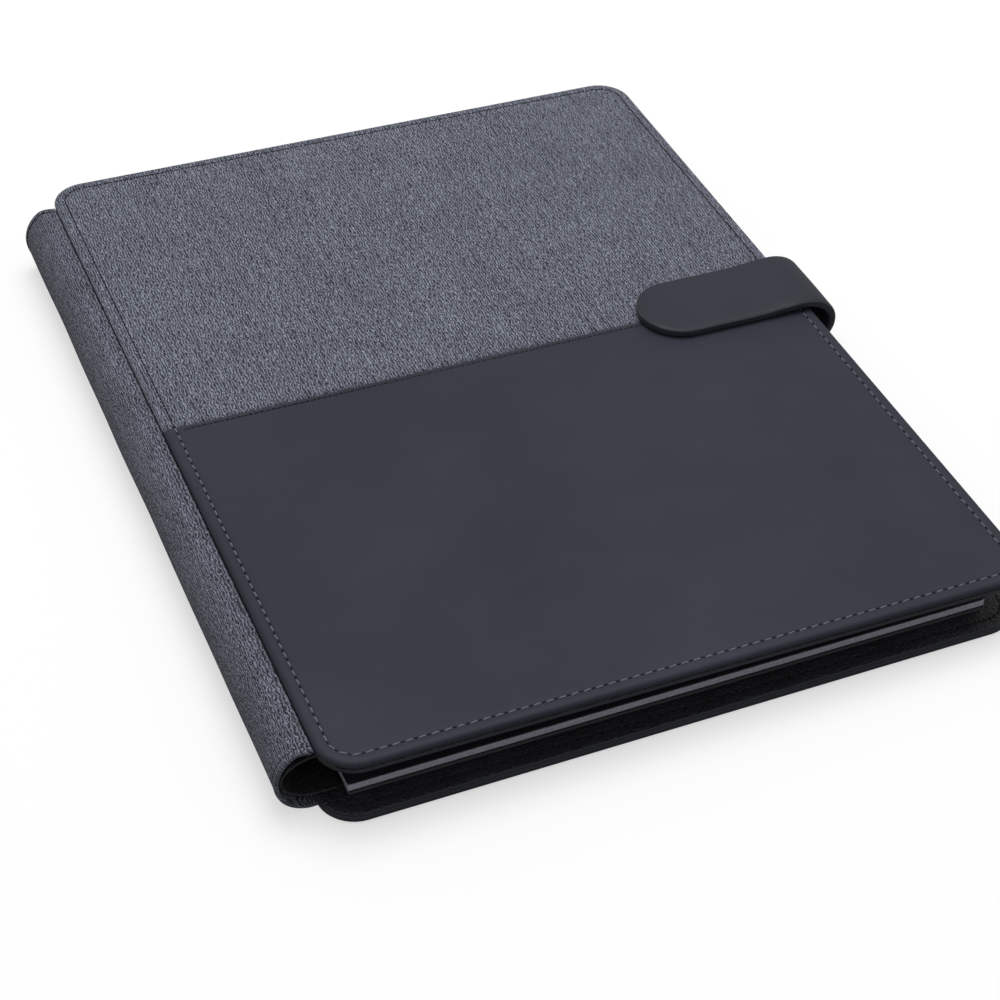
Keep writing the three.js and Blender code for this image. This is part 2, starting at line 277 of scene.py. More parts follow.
SMOOTH_SKIN = leatherette("smooth_skin", SMOOTH, SMOOTH_LIGHT, roughness=0.55, specular=0.18)
STRAP_SKIN = leatherette("strap_skin", STRAP, STRAP_LIGHT, roughness=0.47)
# A lighter line along the strap's bevelled edge: painted highlight where light catches the bevel.
STRAP_EDGE_HIGHLIGHT = leatherette(
    "strap_edge_highlight", srgb(62, 66, 75), srgb(84, 88, 98), roughness=0.45, cloud=240, specular=0.3,
)
BACK_SKIN = leatherette("back_skin", srgb(42, 44, 50), srgb(52, 54, 61), roughness=0.45)
FABRIC_SKIN = melange("fabric_skin", FABRIC_DARK, FABRIC_MID, FABRIC_LIGHT)
# The spine's cloth: the covers' cloth darkened as painted shade.
SPINE_PAINTED_SHADE_SKIN = melange(
    "spine_painted_shade_skin", darkened_as_painted_shade(FABRIC_DARK, SPINE_PAINTED_SHADE), darkened_as_painted_shade(FABRIC_MID, SPINE_PAINTED_SHADE),
    darkened_as_painted_shade(FABRIC_LIGHT, SPINE_PAINTED_SHADE),
)
LINING_SKIN = leatherette(
    "lining_skin", LINING, LINING_LIGHT, grain=900, bump=1.0, roughness=0.5, cloud=80, specular=0.45,
)
THREAD_SKIN = fibre("thread_light", THREAD, THREAD_LIGHT, scale=4000)
THREAD_DARK_SKIN = fibre("thread_dark", THREAD_DARK, srgb(52, 54, 62), scale=4000)
THREAD_BLACK_SKIN = fibre("thread_black", THREAD_BLACK, srgb(38, 39, 43), scale=4000)
# Needle holes are near-black discs: painted shade in the holes.
HOLE_SHADE_SKIN = fibre("needle_hole_shade", srgb(18, 19, 22), srgb(28, 29, 33), scale=4000)
# Paper darkened as painted shade.
PAPER_PAINTED_SHADE_SKIN = fibre("paper", PAPER_PAINTED_SHADE, srgb(182, 182, 194), scale=1400, bump=0.05)
# The pad's cover sheet is near black: painted shade over the pad's top under the front cover.
PAD_COVER_PAINTED_SHADE_SKIN = fibre("pad_cover", srgb(36, 37, 41), srgb(44, 45, 50), scale=1400, roughness=0.6, bump=0.05)
# Greyboard darkened as painted shade.
BOARD_PAINTED_SHADE_SKIN = fibre("greyboard_painted_shade", GREYBOARD_PAINTED_SHADE, srgb(72, 73, 78), scale=1500)
STIFFENER_SKIN = fibre("stiffener", srgb(141, 127, 106), srgb(160, 146, 124), scale=1200)
TAPE_SKIN = fibre("binding_tape", TAPE, srgb(62, 65, 74), scale=2500, stretch=(1, 4, 1))
ELASTIC_SKIN = fibre("elastic", srgb(22, 23, 26), srgb(48, 49, 54), scale=1400, stretch=(0.2, 3, 1))
STEEL_SKIN = brushed("steel", STEEL)


# Mesh helpers

def finish_mesh(name, bm, place, materials):
    """Turns a mesh drawn in millimetres into an object, set in place."""
    for vert in bm.verts:
        vert.co = place(*vert.co)
    bmesh.ops.remove_doubles(bm, verts=bm.verts, dist=1e-6)
    bmesh.ops.recalc_face_normals(bm, faces=bm.faces)
    mesh = bpy.data.meshes.new(name)
    bm.to_mesh(mesh)
    bm.free()
    for material in materials:
        mesh.materials.append(material)
    mesh.polygons.foreach_set("use_smooth", [True] * len(mesh.polygons))
    obj = bpy.data.objects.new(name, mesh)
    bpy.context.collection.objects.link(obj)
    return obj


def ease(value):
    """A smooth step from 0 to 1."""
    value = min(max(value, 0.0), 1.0)
    return value * value * (3 - 2 * value)


def rounded_outline(x, y, width, length, corner, step=3.0, corner_steps=10):
    """Points round a rounded rectangle, anticlockwise."""
    right = x + width
    back = y + length
    line = []

    def run(start, end):
        count = max(1, round(math.dist(start, end) / step))
        for k in range(count):
            t = k / count
            line.append((start[0] + (end[0] - start[0]) * t, start[1] + (end[1] - start[1]) * t))

    def turn(centre, start):
        for k in range(corner_steps):
            angle = start + math.pi / 2 * k / corner_steps
            line.append((centre[0] + corner * math.cos(angle), centre[1] + corner * math.sin(angle)))

    run((x + corner, y), (right - corner, y))
    turn((right - corner, y + corner), -math.pi / 2)
    run((right, y + corner), (right, back - corner))
    turn((right - corner, back - corner), 0)
    run((right - corner, back), (x + corner, back))
    turn((x + corner, back - corner), math.pi / 2)
    run((x, back - corner), (x, y + corner))
    turn((x + corner, y + corner), math.pi)
    return line


def inset_line(line, inset):
    """The same closed line moved inwards."""
    points = np.array(line, float)
    along = np.roll(points, -1, axis=0) - np.roll(points, 1, axis=0)
    along /= np.linalg.norm(along, axis=1)[:, None]
    inwards = np.stack([-along[:, 1], along[:, 0]], axis=1)
    return points + inwards * inset


def bridge(bm, first, second):
    """Faces between two closed loops with the same number of points."""
    count = len(first)
    for k in range(count):
        after = (k + 1) % count
        bm.faces.new((first[k], first[after], second[after], second[k]))


def soft_slab(line, profile, waves=0.0, seed=0.0):
    """A closed sheet with a shaped edge. The profile gives (inset, height) pairs from its underside,
    round the edge and over its top; both middles are filled by rings that close on a middle line."""
    bm = bmesh.new()
    loops = []
    for inset, height in profile:
        loops.append([bm.verts.new((px, py, height)) for px, py in inset_line(line, inset)])
    for first, second in zip(loops, loops[1:]):
        bridge(bm, first, second)
    low = np.array(line).min(axis=0)
    high = np.array(line).max(axis=0)
    middle = (low + high) / 2
    spare = (high - low - min(high - low)) / 2
    rings = 9
    for outer in (loops[0], loops[-1]):
        ring = outer
        height = outer[0].co.z
        for k in range(1, rings + 1):
            share = k / rings
            inner = []
            for vert in outer:
                px = middle[0] + min(max(vert.co.x - middle[0], -spare[0]), spare[0])
                py = middle[1] + min(max(vert.co.y - middle[1], -spare[1]), spare[1])
                inner.append(bm.verts.new((
                    vert.co.x + (px - vert.co.x) * share, vert.co.y + (py - vert.co.y) * share, height,
                )))
            bridge(bm, ring, inner)
            ring = inner
    bmesh.ops.remove_doubles(bm, verts=bm.verts, dist=1e-4)
    top = profile[-1][1]
    for vert in bm.verts:
        from_edge = min(vert.co.x - low[0], high[0] - vert.co.x, vert.co.y - low[1], high[1] - vert.co.y)
        if abs(vert.co.z - top) < 0.3:
            swell = perlin.noise(Vector((vert.co.x / 45, vert.co.y / 45, seed)))
            vert.co.z += waves * swell * ease((from_edge - 5) / 14)
    return bm


def cut(bm, y, keep_below=None):
    """Adds a row of points across the mesh at y, or keeps only one side of it and closes the cut."""
    geometry = bm.verts[:] + bm.edges[:] + bm.faces[:]
    bmesh.ops.bisect_plane(
        bm, geom=geometry, dist=1e-6, plane_co=(0, y, 0), plane_no=(0, 1, 0),
        clear_outer=keep_below is True, clear_inner=keep_below is False,
    )
    if keep_below is not None:
        open_edges = [edge for edge in bm.edges if edge.is_boundary]
        bmesh.ops.edgeloop_fill(bm, edges=open_edges)


def capped_slab(line, profile, split=True):
    """A closed thin sheet of any outline. Its flat faces are closed straight across, and split cuts
    them into triangles."""
    bm = bmesh.new()
    loops = []
    for inset, height in profile:
        loops.append([bm.verts.new((px, py, height)) for px, py in inset_line(line, inset)])
    for first, second in zip(loops, loops[1:]):
        bridge(bm, first, second)
    bm.faces.new(loops[0])
    bm.faces.new(loops[-1])
    if split:
        bmesh.ops.triangulate(bm, faces=[face for face in bm.faces if len(face.verts) > 4])
    return bm


def soft_band(path, rows, waves=0.0, seed=0.0):
    """A closed band: a path in X and Z, carried along Y. Each row gives y and how far the band
    reaches outwards and inwards from the path there."""
    points = np.array(path, float)
    along = np.gradient(points, axis=0)
    along /= np.linalg.norm(along, axis=1)[:, None]
    across = np.stack([-along[:, 1], along[:, 0]], axis=1)
    bm = bmesh.new()
    loops = []
    last = len(points) - 1
    for y, outwards, inwards in rows:
        shift = np.array([
            waves * perlin.noise(Vector((y / 38, k * 0.05, seed))) * ease(min(k, last - k) / 5)
            for k in range(last + 1)
        ])
        outer = points + across * (outwards + shift)[:, None]
        inner = points - across * (inwards - shift)[:, None]
        reach = 0.5 * min(outwards, inwards)
        start = points[0] - along[0] * reach
        end = points[-1] + along[-1] * reach
        section = [*outer, end, *inner[::-1], start]
        loops.append([bm.verts.new((px, y, pz)) for px, pz in section])
    for first, second in zip(loops, loops[1:]):
        bridge(bm, first, second)
    for loop in (loops[0], loops[-1]):
        for k in range(last):
            other = 2 * last + 2 - k
            bm.faces.new((loop[k], loop[k + 1], loop[other - 1], loop[other]))
        bm.faces.new((loop[last], loop[last + 1], loop[last + 2]))
        bm.faces.new((loop[0], loop[-1], loop[-2]))
    return bm


def arc(centre_x, centre_z, radius_x, radius_z, start, end, steps):
    """Points of an elliptical arc, in degrees, without its first point."""
    points = []
    for k in range(1, steps + 1):
        angle = math.radians(start + (end - start) * k / steps)
        points.append((centre_x + radius_x * math.cos(angle), centre_z + radius_z * math.sin(angle)))
    return points


# Stitching

def spots(line, pitch, closed=False):
    """Even places along a line, each with the direction of the line there."""
    points = np.array([*line, line[0]] if closed else line, float)
    steps = np.linalg.norm(np.diff(points, axis=0), axis=1)
    travelled = np.concatenate(([0.0], np.cumsum(steps)))
    count = max(1, round(travelled[-1] / pitch))
    found = []
    for k in range(count):
        at = (k + 0.5) / count * travelled[-1]
        i = int(np.searchsorted(travelled, at)) - 1
        t = (at - travelled[i]) / steps[i]
        found.append((points[i] + (points[i + 1] - points[i]) * t, (points[i + 1] - points[i]) / steps[i]))
    return found


STITCH_STATIONS = (-0.5, -0.38, -0.2, 0.2, 0.38, 0.5)
STITCH_LIFT = (-0.2, 0.02, 0.1, 0.1, 0.02, -0.2)
STITCH_GIRTH = (0.5, 0.92, 1.0, 1.0, 0.92, 0.5)
THREAD_HALF_WIDTH = 0.27
THREAD_HALF_HEIGHT = 0.2
HOLE_HALF_LENGTH = 0.62
HOLE_HALF_WIDTH = 0.34


def add_stitch(bm, place, direction, height, up, thread):
    """One raised thread and the needle hole after it, a near-black disc of painted shade. Material 0 is the
    hole, the thread is the given one.
    """
    wobble = STITCH_SLANT + chance.uniform(-0.03, 0.03)
    lx = direction[0] * math.cos(wobble) - direction[1] * math.sin(wobble)
    ly = direction[0] * math.sin(wobble) + direction[1] * math.cos(wobble)
    sides = 6
    rings = []
    for station, lift, girth in zip(STITCH_STATIONS, STITCH_LIFT, STITCH_GIRTH):
        ring = []
        for k in range(sides):
            angle = 2 * math.pi * k / sides
            aside = THREAD_HALF_WIDTH * girth * math.cos(angle)
            rise = lift + THREAD_HALF_HEIGHT * girth * math.sin(angle)
            ring.append(bm.verts.new((
                place[0] + lx * station * STITCH_LENGTH - ly * aside,
                place[1] + ly * station * STITCH_LENGTH + lx * aside,
                height + up * rise,
            )))
        rings.append(ring)
    for first, second in zip(rings, rings[1:]):
        for k in range(sides):
            after = (k + 1) % sides
            face = bm.faces.new((first[k], first[after], second[after], second[k]))
            face.material_index = thread
    for ring in (rings[0], rings[-1]):
        bm.faces.new(ring).material_index = thread
    # The needle hole: a near-black disc of painted shade, raised just above the surface.
    centre = (place[0] + direction[0] * STITCH_PITCH / 2, place[1] + direction[1] * STITCH_PITCH / 2)
    top = []
    bottom = []
    for k in range(8):
        angle = 2 * math.pi * k / 8
        ahead = HOLE_HALF_LENGTH * math.cos(angle)
        aside = HOLE_HALF_WIDTH * math.sin(angle)
        px = centre[0] + direction[0] * ahead - direction[1] * aside
        py = centre[1] + direction[1] * ahead + direction[0] * aside
        top.append(bm.verts.new((px, py, height + up * 0.16)))
        bottom.append(bm.verts.new((px, py, height - up * 0.1)))
    bridge(bm, bottom, top)
    bm.faces.new(top)
    bm.faces.new(bottom)


def sew(name, rows, place, threads):
    """Rows of stitches: each row is (line, closed, height at a place, up, thread at a place)."""
    bm = bmesh.new()
    for line, closed, height, up, thread in rows:
        for spot, direction in spots(line, STITCH_PITCH, closed):
            add_stitch(bm, spot, direction, height(spot), up, thread(spot))
    return finish_mesh(name, bm, place, [HOLE_SHADE_SKIN, *threads])


# Covers

COVER_LINE = rounded_outline(0, 0, WIDTH, LENGTH, CORNER)

# Edges as pairs of inset and height: the skins' from below, the linings' from above
SKIN_PROFILE = [
    (9.5, 0.95), (1.3, 0.95), (0.9, 0.98), (0.45, 1.15), (0.1, 1.55), (0.0, 2.0), (0.04, 2.6),
    (0.22, 3.15), (0.55, 3.6), (1.0, 3.87), (1.6, 4.0), (2.3, 4.04), (2.9, 4.0), (3.45, 3.9),
    (3.9, VALLEY), (4.35, 3.9), (5.0, 3.99), (6.0, 4.03), (7.5, 4.05), (9.5, 4.05),
]
FRONT_SKIN_PROFILE = [
    (9.5, 0.95), (2.6, 0.95), (1.9, 1.3), (1.2, 1.72), (0.75, 1.78), (0.35, 1.95), (0.08, 2.3),
    (0.0, 2.65), (0.04, 3.0), (0.22, 3.35), (0.55, 3.66), *SKIN_PROFILE[9:],
]
LINING_PROFILE = [
    (9.5, 0.9), (0.9, 0.9), (0.45, 0.83), (0.18, 0.68), (0.1, 0.45), (0.2, 0.16), (0.5, 0.03),
    (1.3, 0.0), (2.7, 0.0), (3.3, 0.08), (3.9, 0.14), (4.5, 0.08), (5.2, 0.0), (9.5, 0.0),
]
FRONT_LINING_PROFILE = [
    (9.5, 0.9), (2.6, 0.9), (1.9, 1.25), (1.2, 1.62), (0.75, 1.6), (0.4, 1.45), (0.15, 1.15),
    (0.1, 0.8), (0.16, 0.45), (0.35, 0.18), (0.7, 0.04), *LINING_PROFILE[7:],
]


def smooth_skin():
    """The near panel: its far edge is folded and lies on the fabric panel's edge. The shape gives the
    fold's height by the distance from the seam."""
    bm = soft_slab(COVER_LINE, FRONT_SKIN_PROFILE, waves=0.12, seed=2.0)
    shape = [(0.0, -0.34), (0.2, -0.12), (0.6, 0.0), (1.1, 0.04), (1.8, -0.12), (2.5, 0.0), (3.4, 0.0)]
    for inwards, _ in shape[1:]:
        cut(bm, SEAM - inwards)
    cut(bm, SEAM, keep_below=True)
    inwards, drop = zip(*shape)
    for vert in bm.verts:
        share = ease((vert.co.z - 1.2) / 2)
        vert.co.z += share * (SMOOTH_RAISE + float(np.interp(SEAM - vert.co.y, inwards, drop)))
    obj = finish_mesh("front_smooth_skin", bm, on_front, [SMOOTH_SKIN])
    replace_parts(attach(obj, "front_cover"), "front_smooth_panel")


def fabric_skin():
    """The far panel, from the seam on."""
    bm = soft_slab(COVER_LINE, FRONT_SKIN_PROFILE, waves=0.2, seed=5.0)
    cut(bm, SEAM + 0.05, keep_below=False)
    obj = finish_mesh("front_fabric_skin", bm, on_front, [FABRIC_SKIN])
    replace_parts(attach(obj, "front_cover"), "front_fabric_panel")


def back_skin():
    """The back cover's skin. Its underside lies flat on the table."""
    bm = soft_slab(COVER_LINE, SKIN_PROFILE)
    obj = finish_mesh("back_skin", bm, lambda x, y, z: on_back(x, y, min(z, 4.0)), [BACK_SKIN])
    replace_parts(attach(obj, "back"), "back_panel")


def lining_sheet(name, profile, place, body, node, seed):
    """A cover's inner face. Its rim, material 1, is the smoother, lighter back-cover leatherette, a painted
    highlight where light catches the rim.
    """
    bm = soft_slab(COVER_LINE, profile, waves=0.08, seed=seed)
    for face in bm.faces:
        centre = face.calc_center_median()
        from_edge = min(centre.x, WIDTH - centre.x, centre.y, LENGTH - centre.y)
        # Rim faces take the lighter leatherette as a painted highlight.
        if from_edge < 0.5:
            face.material_index = 1
    obj = finish_mesh(name, bm, place, [LINING_SKIN, BACK_SKIN])
    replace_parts(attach(obj, body), node)


def edge_line(inset):
    """The covers' outline, moved inwards."""
    return rounded_outline(inset, inset, WIDTH - 2 * inset, LENGTH - 2 * inset, CORNER - inset, step=4.0)


def cover_stitches():
    """Rows round both faces of both covers, and the row that holds the smooth panel's folded edge."""
    ring = edge_line(STITCH_INSET)
    outside = (
        ring, True, lambda at: VALLEY + (0.08 + SMOOTH_RAISE if at[1] < SEAM else 0.08), 1,
        lambda at: 1 if at[1] < SEAM else 2,
    )
    seam_y = SEAM - SEAM_ROW
    seam = (
        [(STITCH_INSET + 1.5, seam_y), (WIDTH - STITCH_INSET - 1.5, seam_y)], False,
        lambda at: 4.05 + SMOOTH_RAISE - 0.12, 1, lambda at: 2,
    )
    inside = (ring, True, lambda at: 0.12, -1, lambda at: 3)
    threads = [THREAD_SKIN, THREAD_DARK_SKIN, THREAD_BLACK_SKIN]
    front = sew("front_cover_stitches", [outside, seam, inside], on_front, threads)
    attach(front, "front_cover")
    under = (ring, True, lambda at: VALLEY, 1, lambda at: 3)
    back = sew("back_cover_stitches", [under, inside], on_back, threads)
    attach(back, "back")


# Spine

SPINE_FRONT = 11.0
SPINE_BACK = LENGTH - 11.0
SPINE_MIDDLE = CLOSED_HEIGHT / 2
GUSSET_X = -0.3
GUSSET_RADIUS_X = 11.1
GUSSET_RADIUS_Z = 11.7
GUSSET_DIP = 1.5
GUSSET_DIP_WIDTH = 6.0
INNER_X = 1.8
INNER_RADIUS_X = 11.85
FLANGE_REACH = 34.0
HEM_ROW = 2.3
HEM_HALF_LENGTH = 17.0


def spine_rows(end, middle, hem=0.0):
    """Rows from the front end to the back end: a rounded rim, then a hem with its stitch valley."""
    half = [
        (0.0, 0.45 * middle), (0.12, 0.8 * middle), (0.35, middle + 0.6 * hem), (0.9, middle + hem),
        (HEM_ROW - 0.6, middle + 0.7 * hem), (HEM_ROW, middle - 0.8 * hem),
        (HEM_ROW + 0.6, middle), (HEM_ROW + 1.6, middle),
    ]
    near = [(SPINE_FRONT + end + at, reach, middle) for at, reach in half]
    far = [(SPINE_BACK - end - at, reach, middle) for at, reach in reversed(half)]
    near[0] = (near[0][0], near[0][1], near[0][1])
    far[-1] = (far[-1][0], far[-1][1], far[-1][1])
    count = 90
    low = near[-1][0]
    high = far[0][0]
    between = [(low + (high - low) * k / count, middle, middle) for k in range(1, count)]
    return [*near, *between, *far]


def sunk(x, z):
    """The gusset dips towards the front cover, so that the cover's edge stands out."""
    if z < SPINE_MIDDLE:
        return z
    return z - GUSSET_DIP * ease((x - GUSSET_X + GUSSET_DIP_WIDTH) / GUSSET_DIP_WIDTH)


def spine():
    """The fabric gusset and its lining, both curved round between the two covers."""
    path = [(GUSSET_X, SPINE_MIDDLE + GUSSET_RADIUS_Z)]
    path += arc(GUSSET_X, SPINE_MIDDLE, GUSSET_RADIUS_X, GUSSET_RADIUS_Z, 90, 270, 44)
    path = [(x, sunk(x, z)) for x, z in path] + [(0.8, 0.9), (1.9, 1.1)]
    bm = soft_band(path[::-1], spine_rows(0.0, 0.6, hem=0.18), waves=0.3, seed=3.0)
    gusset = finish_mesh("spine_fabric", bm, on_base, [SPINE_PAINTED_SHADE_SKIN])
    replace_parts(gusset, "spine_gusset")

    top = FRONT_UNDERSIDE - 0.75
    bottom = COVER_THICKNESS + 0.75
    path = [(8.2, bottom), (5.0, bottom), (3.0, bottom), (INNER_X, bottom)]
    path += arc(INNER_X, (top + bottom) / 2, INNER_RADIUS_X, (top - bottom) / 2, 270, 90, 44)
    path += [(x, top - (x - INNER_X) * math.tan(SLOPE)) for x in (4.0, 10.0, 18.0, 26.0, FLANGE_REACH)]
    bm = soft_band(path, spine_rows(0.6, 0.42, hem=0.08))
    inner = finish_mesh("spine_inner", bm, on_base, [LINING_SKIN])
    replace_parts(inner, "spine_lining")

    hems = []
    for y in (SPINE_FRONT + HEM_ROW, SPINE_BACK - HEM_ROW):
        row = [(-HEM_HALF_LENGTH, y), (HEM_HALF_LENGTH, y)]
        hems.append((row, False, lambda at: 0.45, 1, lambda at: 1))

    def round_spine(along, y, out):
        """Along the curve from its middle, and out from the fabric's middle, to a place."""
        angle = math.pi + along / (GUSSET_RADIUS_X + 0.3)
        x = GUSSET_X + (GUSSET_RADIUS_X + out) * math.cos(angle)
        return on_base(x, y, sunk(x, SPINE_MIDDLE + (GUSSET_RADIUS_Z + out) * math.sin(-angle)))

    stitches = sew("spine_hem_stitches", hems, round_spine, [THREAD_DARK_SKIN])
    for obj in (gusset, stitches):
        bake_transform(obj)
    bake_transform(inner)


# Strap

STRAP_WIDTH = 29.0
STRAP_THICKNESS = 3.0
STRAP_TIP = WIDTH - 60.0
STRAP_BEND = WIDTH - 3.7

# The bend reaches further out than the solids do, as the photograph shows
STRAP_CURVE = 12.5


def strap_path():
    """Centre line of the strap, from its round tip to its sewn end, and the height of its outermost point."""
    def rest(x):
        return CLOSED_HEIGHT + 0.7 - x * math.tan(SLOPE) + STRAP_THICKNESS / 2

    top = rest(STRAP_BEND) + 1.0
    bottom = COVER_THICKNESS + 0.3 + STRAP_THICKNESS / 2
    middle = (top + bottom) / 2
    points = []
    for k in range(41):
        x = STRAP_TIP + (STRAP_BEND - STRAP_TIP) * k / 40
        points.append((x, rest(x) + ease((x - STRAP_BEND + 18) / 18)))
    points += arc(STRAP_BEND, middle, STRAP_CURVE, top - middle, 90, -90, 40)
    points += [(STRAP_BEND - 2.5, bottom), (221.0, bottom)]
    return np.array(points), middle


def strap():
    """One strip with a round tip and softly bevelled edges, bent round the open side. Material 0 is
    its face, 1 a lighter line along the face's bevelled edge, a painted highlight, 2 the sides and the
    underside."""
    path, middle = strap_path()
    steps = np.linalg.norm(np.diff(path, axis=0), axis=1)
    travelled = np.concatenate(([0.0], np.cumsum(steps)))
    along = np.gradient(path, axis=0)
    along /= np.linalg.norm(along, axis=1)[:, None]
    radius = STRAP_WIDTH / 2
    half = STRAP_THICKNESS / 2
    reach = travelled[-1]
    line = [(radius + (reach - radius) * k / 80, -radius) for k in range(80)]
    line += [(reach, radius * (2 * k / 12 - 1)) for k in range(12)]
    line += [(reach + (radius - reach) * k / 80, radius) for k in range(80)]
    line += [
        (radius + radius * math.cos(angle), radius * math.sin(angle))
        for angle in (math.pi / 2 + math.pi * k / 48 for k in range(48))
    ]
    bm = capped_slab(line, [
        (1.1, -half), (0.5, 0.1 - half), (0.15, 0.35 - half), (0.0, 0.7 - half), (0.0, half - 0.75),
        (0.06, half - 0.5), (0.22, half - 0.25), (0.5, half - 0.08), (1.0, half),
    ], split=False)
    slices = [((reach * k / 90, 0, 0), (1, 0, 0)) for k in range(1, 90)]
    slices += [((0, y, 0), (0, 1, 0)) for y in (-10, -5, 0, 5, 10)]
    for place, normal in slices:
        geometry = bm.verts[:] + bm.edges[:] + bm.faces[:]
        bmesh.ops.bisect_plane(bm, geom=geometry, dist=1e-4, plane_co=place, plane_no=normal)
    for face in bm.faces:
        middle_z = face.calc_center_median().z
        if middle_z < half - 0.55:
            face.material_index = 2
        # Faces on the upper bevel take the painted highlight.
        elif middle_z < half - 0.2:
            face.material_index = 1
    for vert in bm.verts:
        crown = 0.12 * (1 - (vert.co.y / radius) ** 2)
        s = min(max(vert.co.x, 0.0), reach)
        px = np.interp(s, travelled, path[:, 0])
        pz = np.interp(s, travelled, path[:, 1])
        ax = np.interp(s, travelled, along[:, 0])
        az = np.interp(s, travelled, along[:, 1])
        size = math.hypot(ax, az)
        height = vert.co.z + (crown - 0.06 if vert.co.z > 0 else 0.0)
        vert.co = Vector((px - az / size * height, SEAM + vert.co.y, pz + ax / size * height))
    obj = finish_mesh("strap_strip", bm, on_base, [STRAP_SKIN, STRAP_EDGE_HIGHLIGHT, BACK_SKIN])
    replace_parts(obj, "strap_outer", "strap_lining", "strap_anchor")
    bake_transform(obj)


# Inside of the case

def thin_profile(low, high):
    """Edge of a thin sheet with rounded rims, between two heights."""
    return [
        (1.0, low), (0.3, low + 0.02), (0.08, low + 0.12), (0.0, (low + high) / 2),
        (0.08, high - 0.12), (0.3, high - 0.02), (1.0, high),
    ]


def document_pocket():
    """The pocket panel inside the front cover, with a half-round thumb notch, sewn on three sides."""
    left = 38.0
    right = WIDTH - 8.0
    front = 8.0
    back = LENGTH - 8.0
    line = rounded_outline(left, front, right - left, back - front, 6.0)
    notch = 14.0
    kept = [at for at in line if abs(at[0] - left) > 0.01 or abs(at[1] - LENGTH / 2) > notch + 0.5]
    split = next(
        k for k in range(len(kept))
        if abs(kept[k][0] - left) < 0.01 and kept[k][1] < LENGTH / 2
    )
    curve = [
        (left + notch * math.sin(math.pi * k / 24), LENGTH / 2 + notch * math.cos(math.pi * k / 24))
        for k in range(25)
    ]
    bm = capped_slab(kept[:split] + curve + kept[split:], thin_profile(-0.9, -0.3))
    obj = finish_mesh("document_pocket", bm, on_front, [LINING_SKIN])
    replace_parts(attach(obj, "front_cover"), "front_document_pocket")
    inset = 2.5
    line = [
        (left + 3, front + inset), (right - inset, front + inset),
        (right - inset, back - inset), (left + 3, back - inset),
    ]
    row = (line, False, lambda at: -0.86, -1, lambda at: 1)
    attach(sew("pocket_stitches", [row], on_front, [THREAD_BLACK_SKIN]), "front_cover")


def card_slots():
    """Three card slots that overlap like shingles on the pocket panel."""
    for number in (1, 2, 3):
        low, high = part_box(f"card_slot_{number}")
        x = (low[0] - LEFT) / MM
        y = (low[1] - FRONT) / MM
        width = (high[0] - low[0]) / MM
        length = (high[1] - low[1]) / MM
        base = -0.9 - 0.8 * number
        line = rounded_outline(x, y, width, length, 2.0, corner_steps=5)
        bm = capped_slab(line, thin_profile(base, base + 0.6))
        obj = finish_mesh(f"card_slot_sheet_{number}", bm, on_front, [LINING_SKIN])
        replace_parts(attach(obj, "front_cover"), f"card_slot_{number}")
        if number == 3:
            right = x + width - 2
            back = y + length - 2
            row = [(x + 2, back), (x + 2, y + 2), (right, y + 2), (right, back)]
            sides = (row, False, lambda at: base + 0.04, -1, lambda at: 1)
            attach(sew("card_slot_stitches", [sides], on_front, [THREAD_BLACK_SKIN]), "front_cover")


def even_rows(start, length, middle, step=3.0):
    """Rows of a plain band with rounded rims at both ends."""
    count = max(2, round(length / step))
    rim = [(0.0, 0.5 * middle), (0.15, 0.9 * middle)]
    rows = [(start + at, reach, reach) for at, reach in rim]
    rows += [(start + 0.4 + (length - 0.8) * k / count, middle, middle) for k in range(count + 1)]
    rows += [(start + length - at, reach, reach) for at, reach in reversed(rim)]
    return rows


def slot_panel():
    """The strip that holds the pad's backing board: it steps down to the lining beside the pad."""
    path = []
    for k in range(61):
        x = max(4.8, 4.5 + 222.0 * k / 60)
        path.append((x, 5.85 - 1.4 * ease((x - 218.7) / 2.0)))
    bm = soft_band(path, even_rows(50.0, 80.0, 0.25))
    obj = finish_mesh("slot_panel", bm, on_base, [LINING_SKIN])
    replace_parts(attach(obj, "back"), "pad_slot_panel")


def pen_loop():
    """A band of elastic that starts flat on the spine's lining and goes once round."""
    low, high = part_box("pen_loop")
    centre_x = ((low[0] + high[0]) / 2 - LEFT) / MM
    centre_z = (low[2] + high[2]) / 2 / MM
    radius = (high[2] - low[2]) / 2 / MM - 0.5
    path = [(centre_x - 3.0 + 0.5 * k, centre_z - radius) for k in range(7)]
    path += arc(centre_x, centre_z, radius, radius, -90, 262, 48)
    start = (low[1] - FRONT) / MM
    bm = soft_band(path, even_rows(start, (high[1] - low[1]) / MM, 0.45, step=2.0))
    obj = finish_mesh("pen_band", bm, on_base, [ELASTIC_SKIN])
    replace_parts(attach(obj, "back"), "pen_loop")


def pad_sheets():
    """The pad's paper as a stack of thin bundles that don't line up quite evenly."""
    low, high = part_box("pad_paper")
    bm = bmesh.new()
    count = 11
    thick = (high[2] - low[2]) / MM / count
    for k in range(count):
        shift_x = chance.uniform(-0.04, 0.04)
        shift_y = chance.uniform(-0.1, 0.08)
        x0 = (low[0] - LEFT) / MM + shift_x
        x1 = (high[0] - LEFT) / MM + shift_x
        y0 = (low[1] - FRONT) / MM + shift_y
        y1 = (high[1] - FRONT) / MM
        z0 = low[2] / MM + k * thick
        z1 = z0 + thick - 0.02
        corners = [(x0, y0), (x1, y0), (x1, y1), (x0, y1)]
        bottom = [bm.verts.new((x, y, z0)) for x, y in corners]
        top = [bm.verts.new((x, y, z1)) for x, y in corners]
        bridge(bm, bottom, top)
        bm.faces.new(bottom)
        bm.faces.new(top)
    obj = finish_mesh("pad_sheets", bm, on_base, [PAPER_PAINTED_SHADE_SKIN])
    obj.data.polygons.foreach_set("use_smooth", [False] * len(obj.data.polygons))
    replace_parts(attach(obj, "back"), "pad_paper")


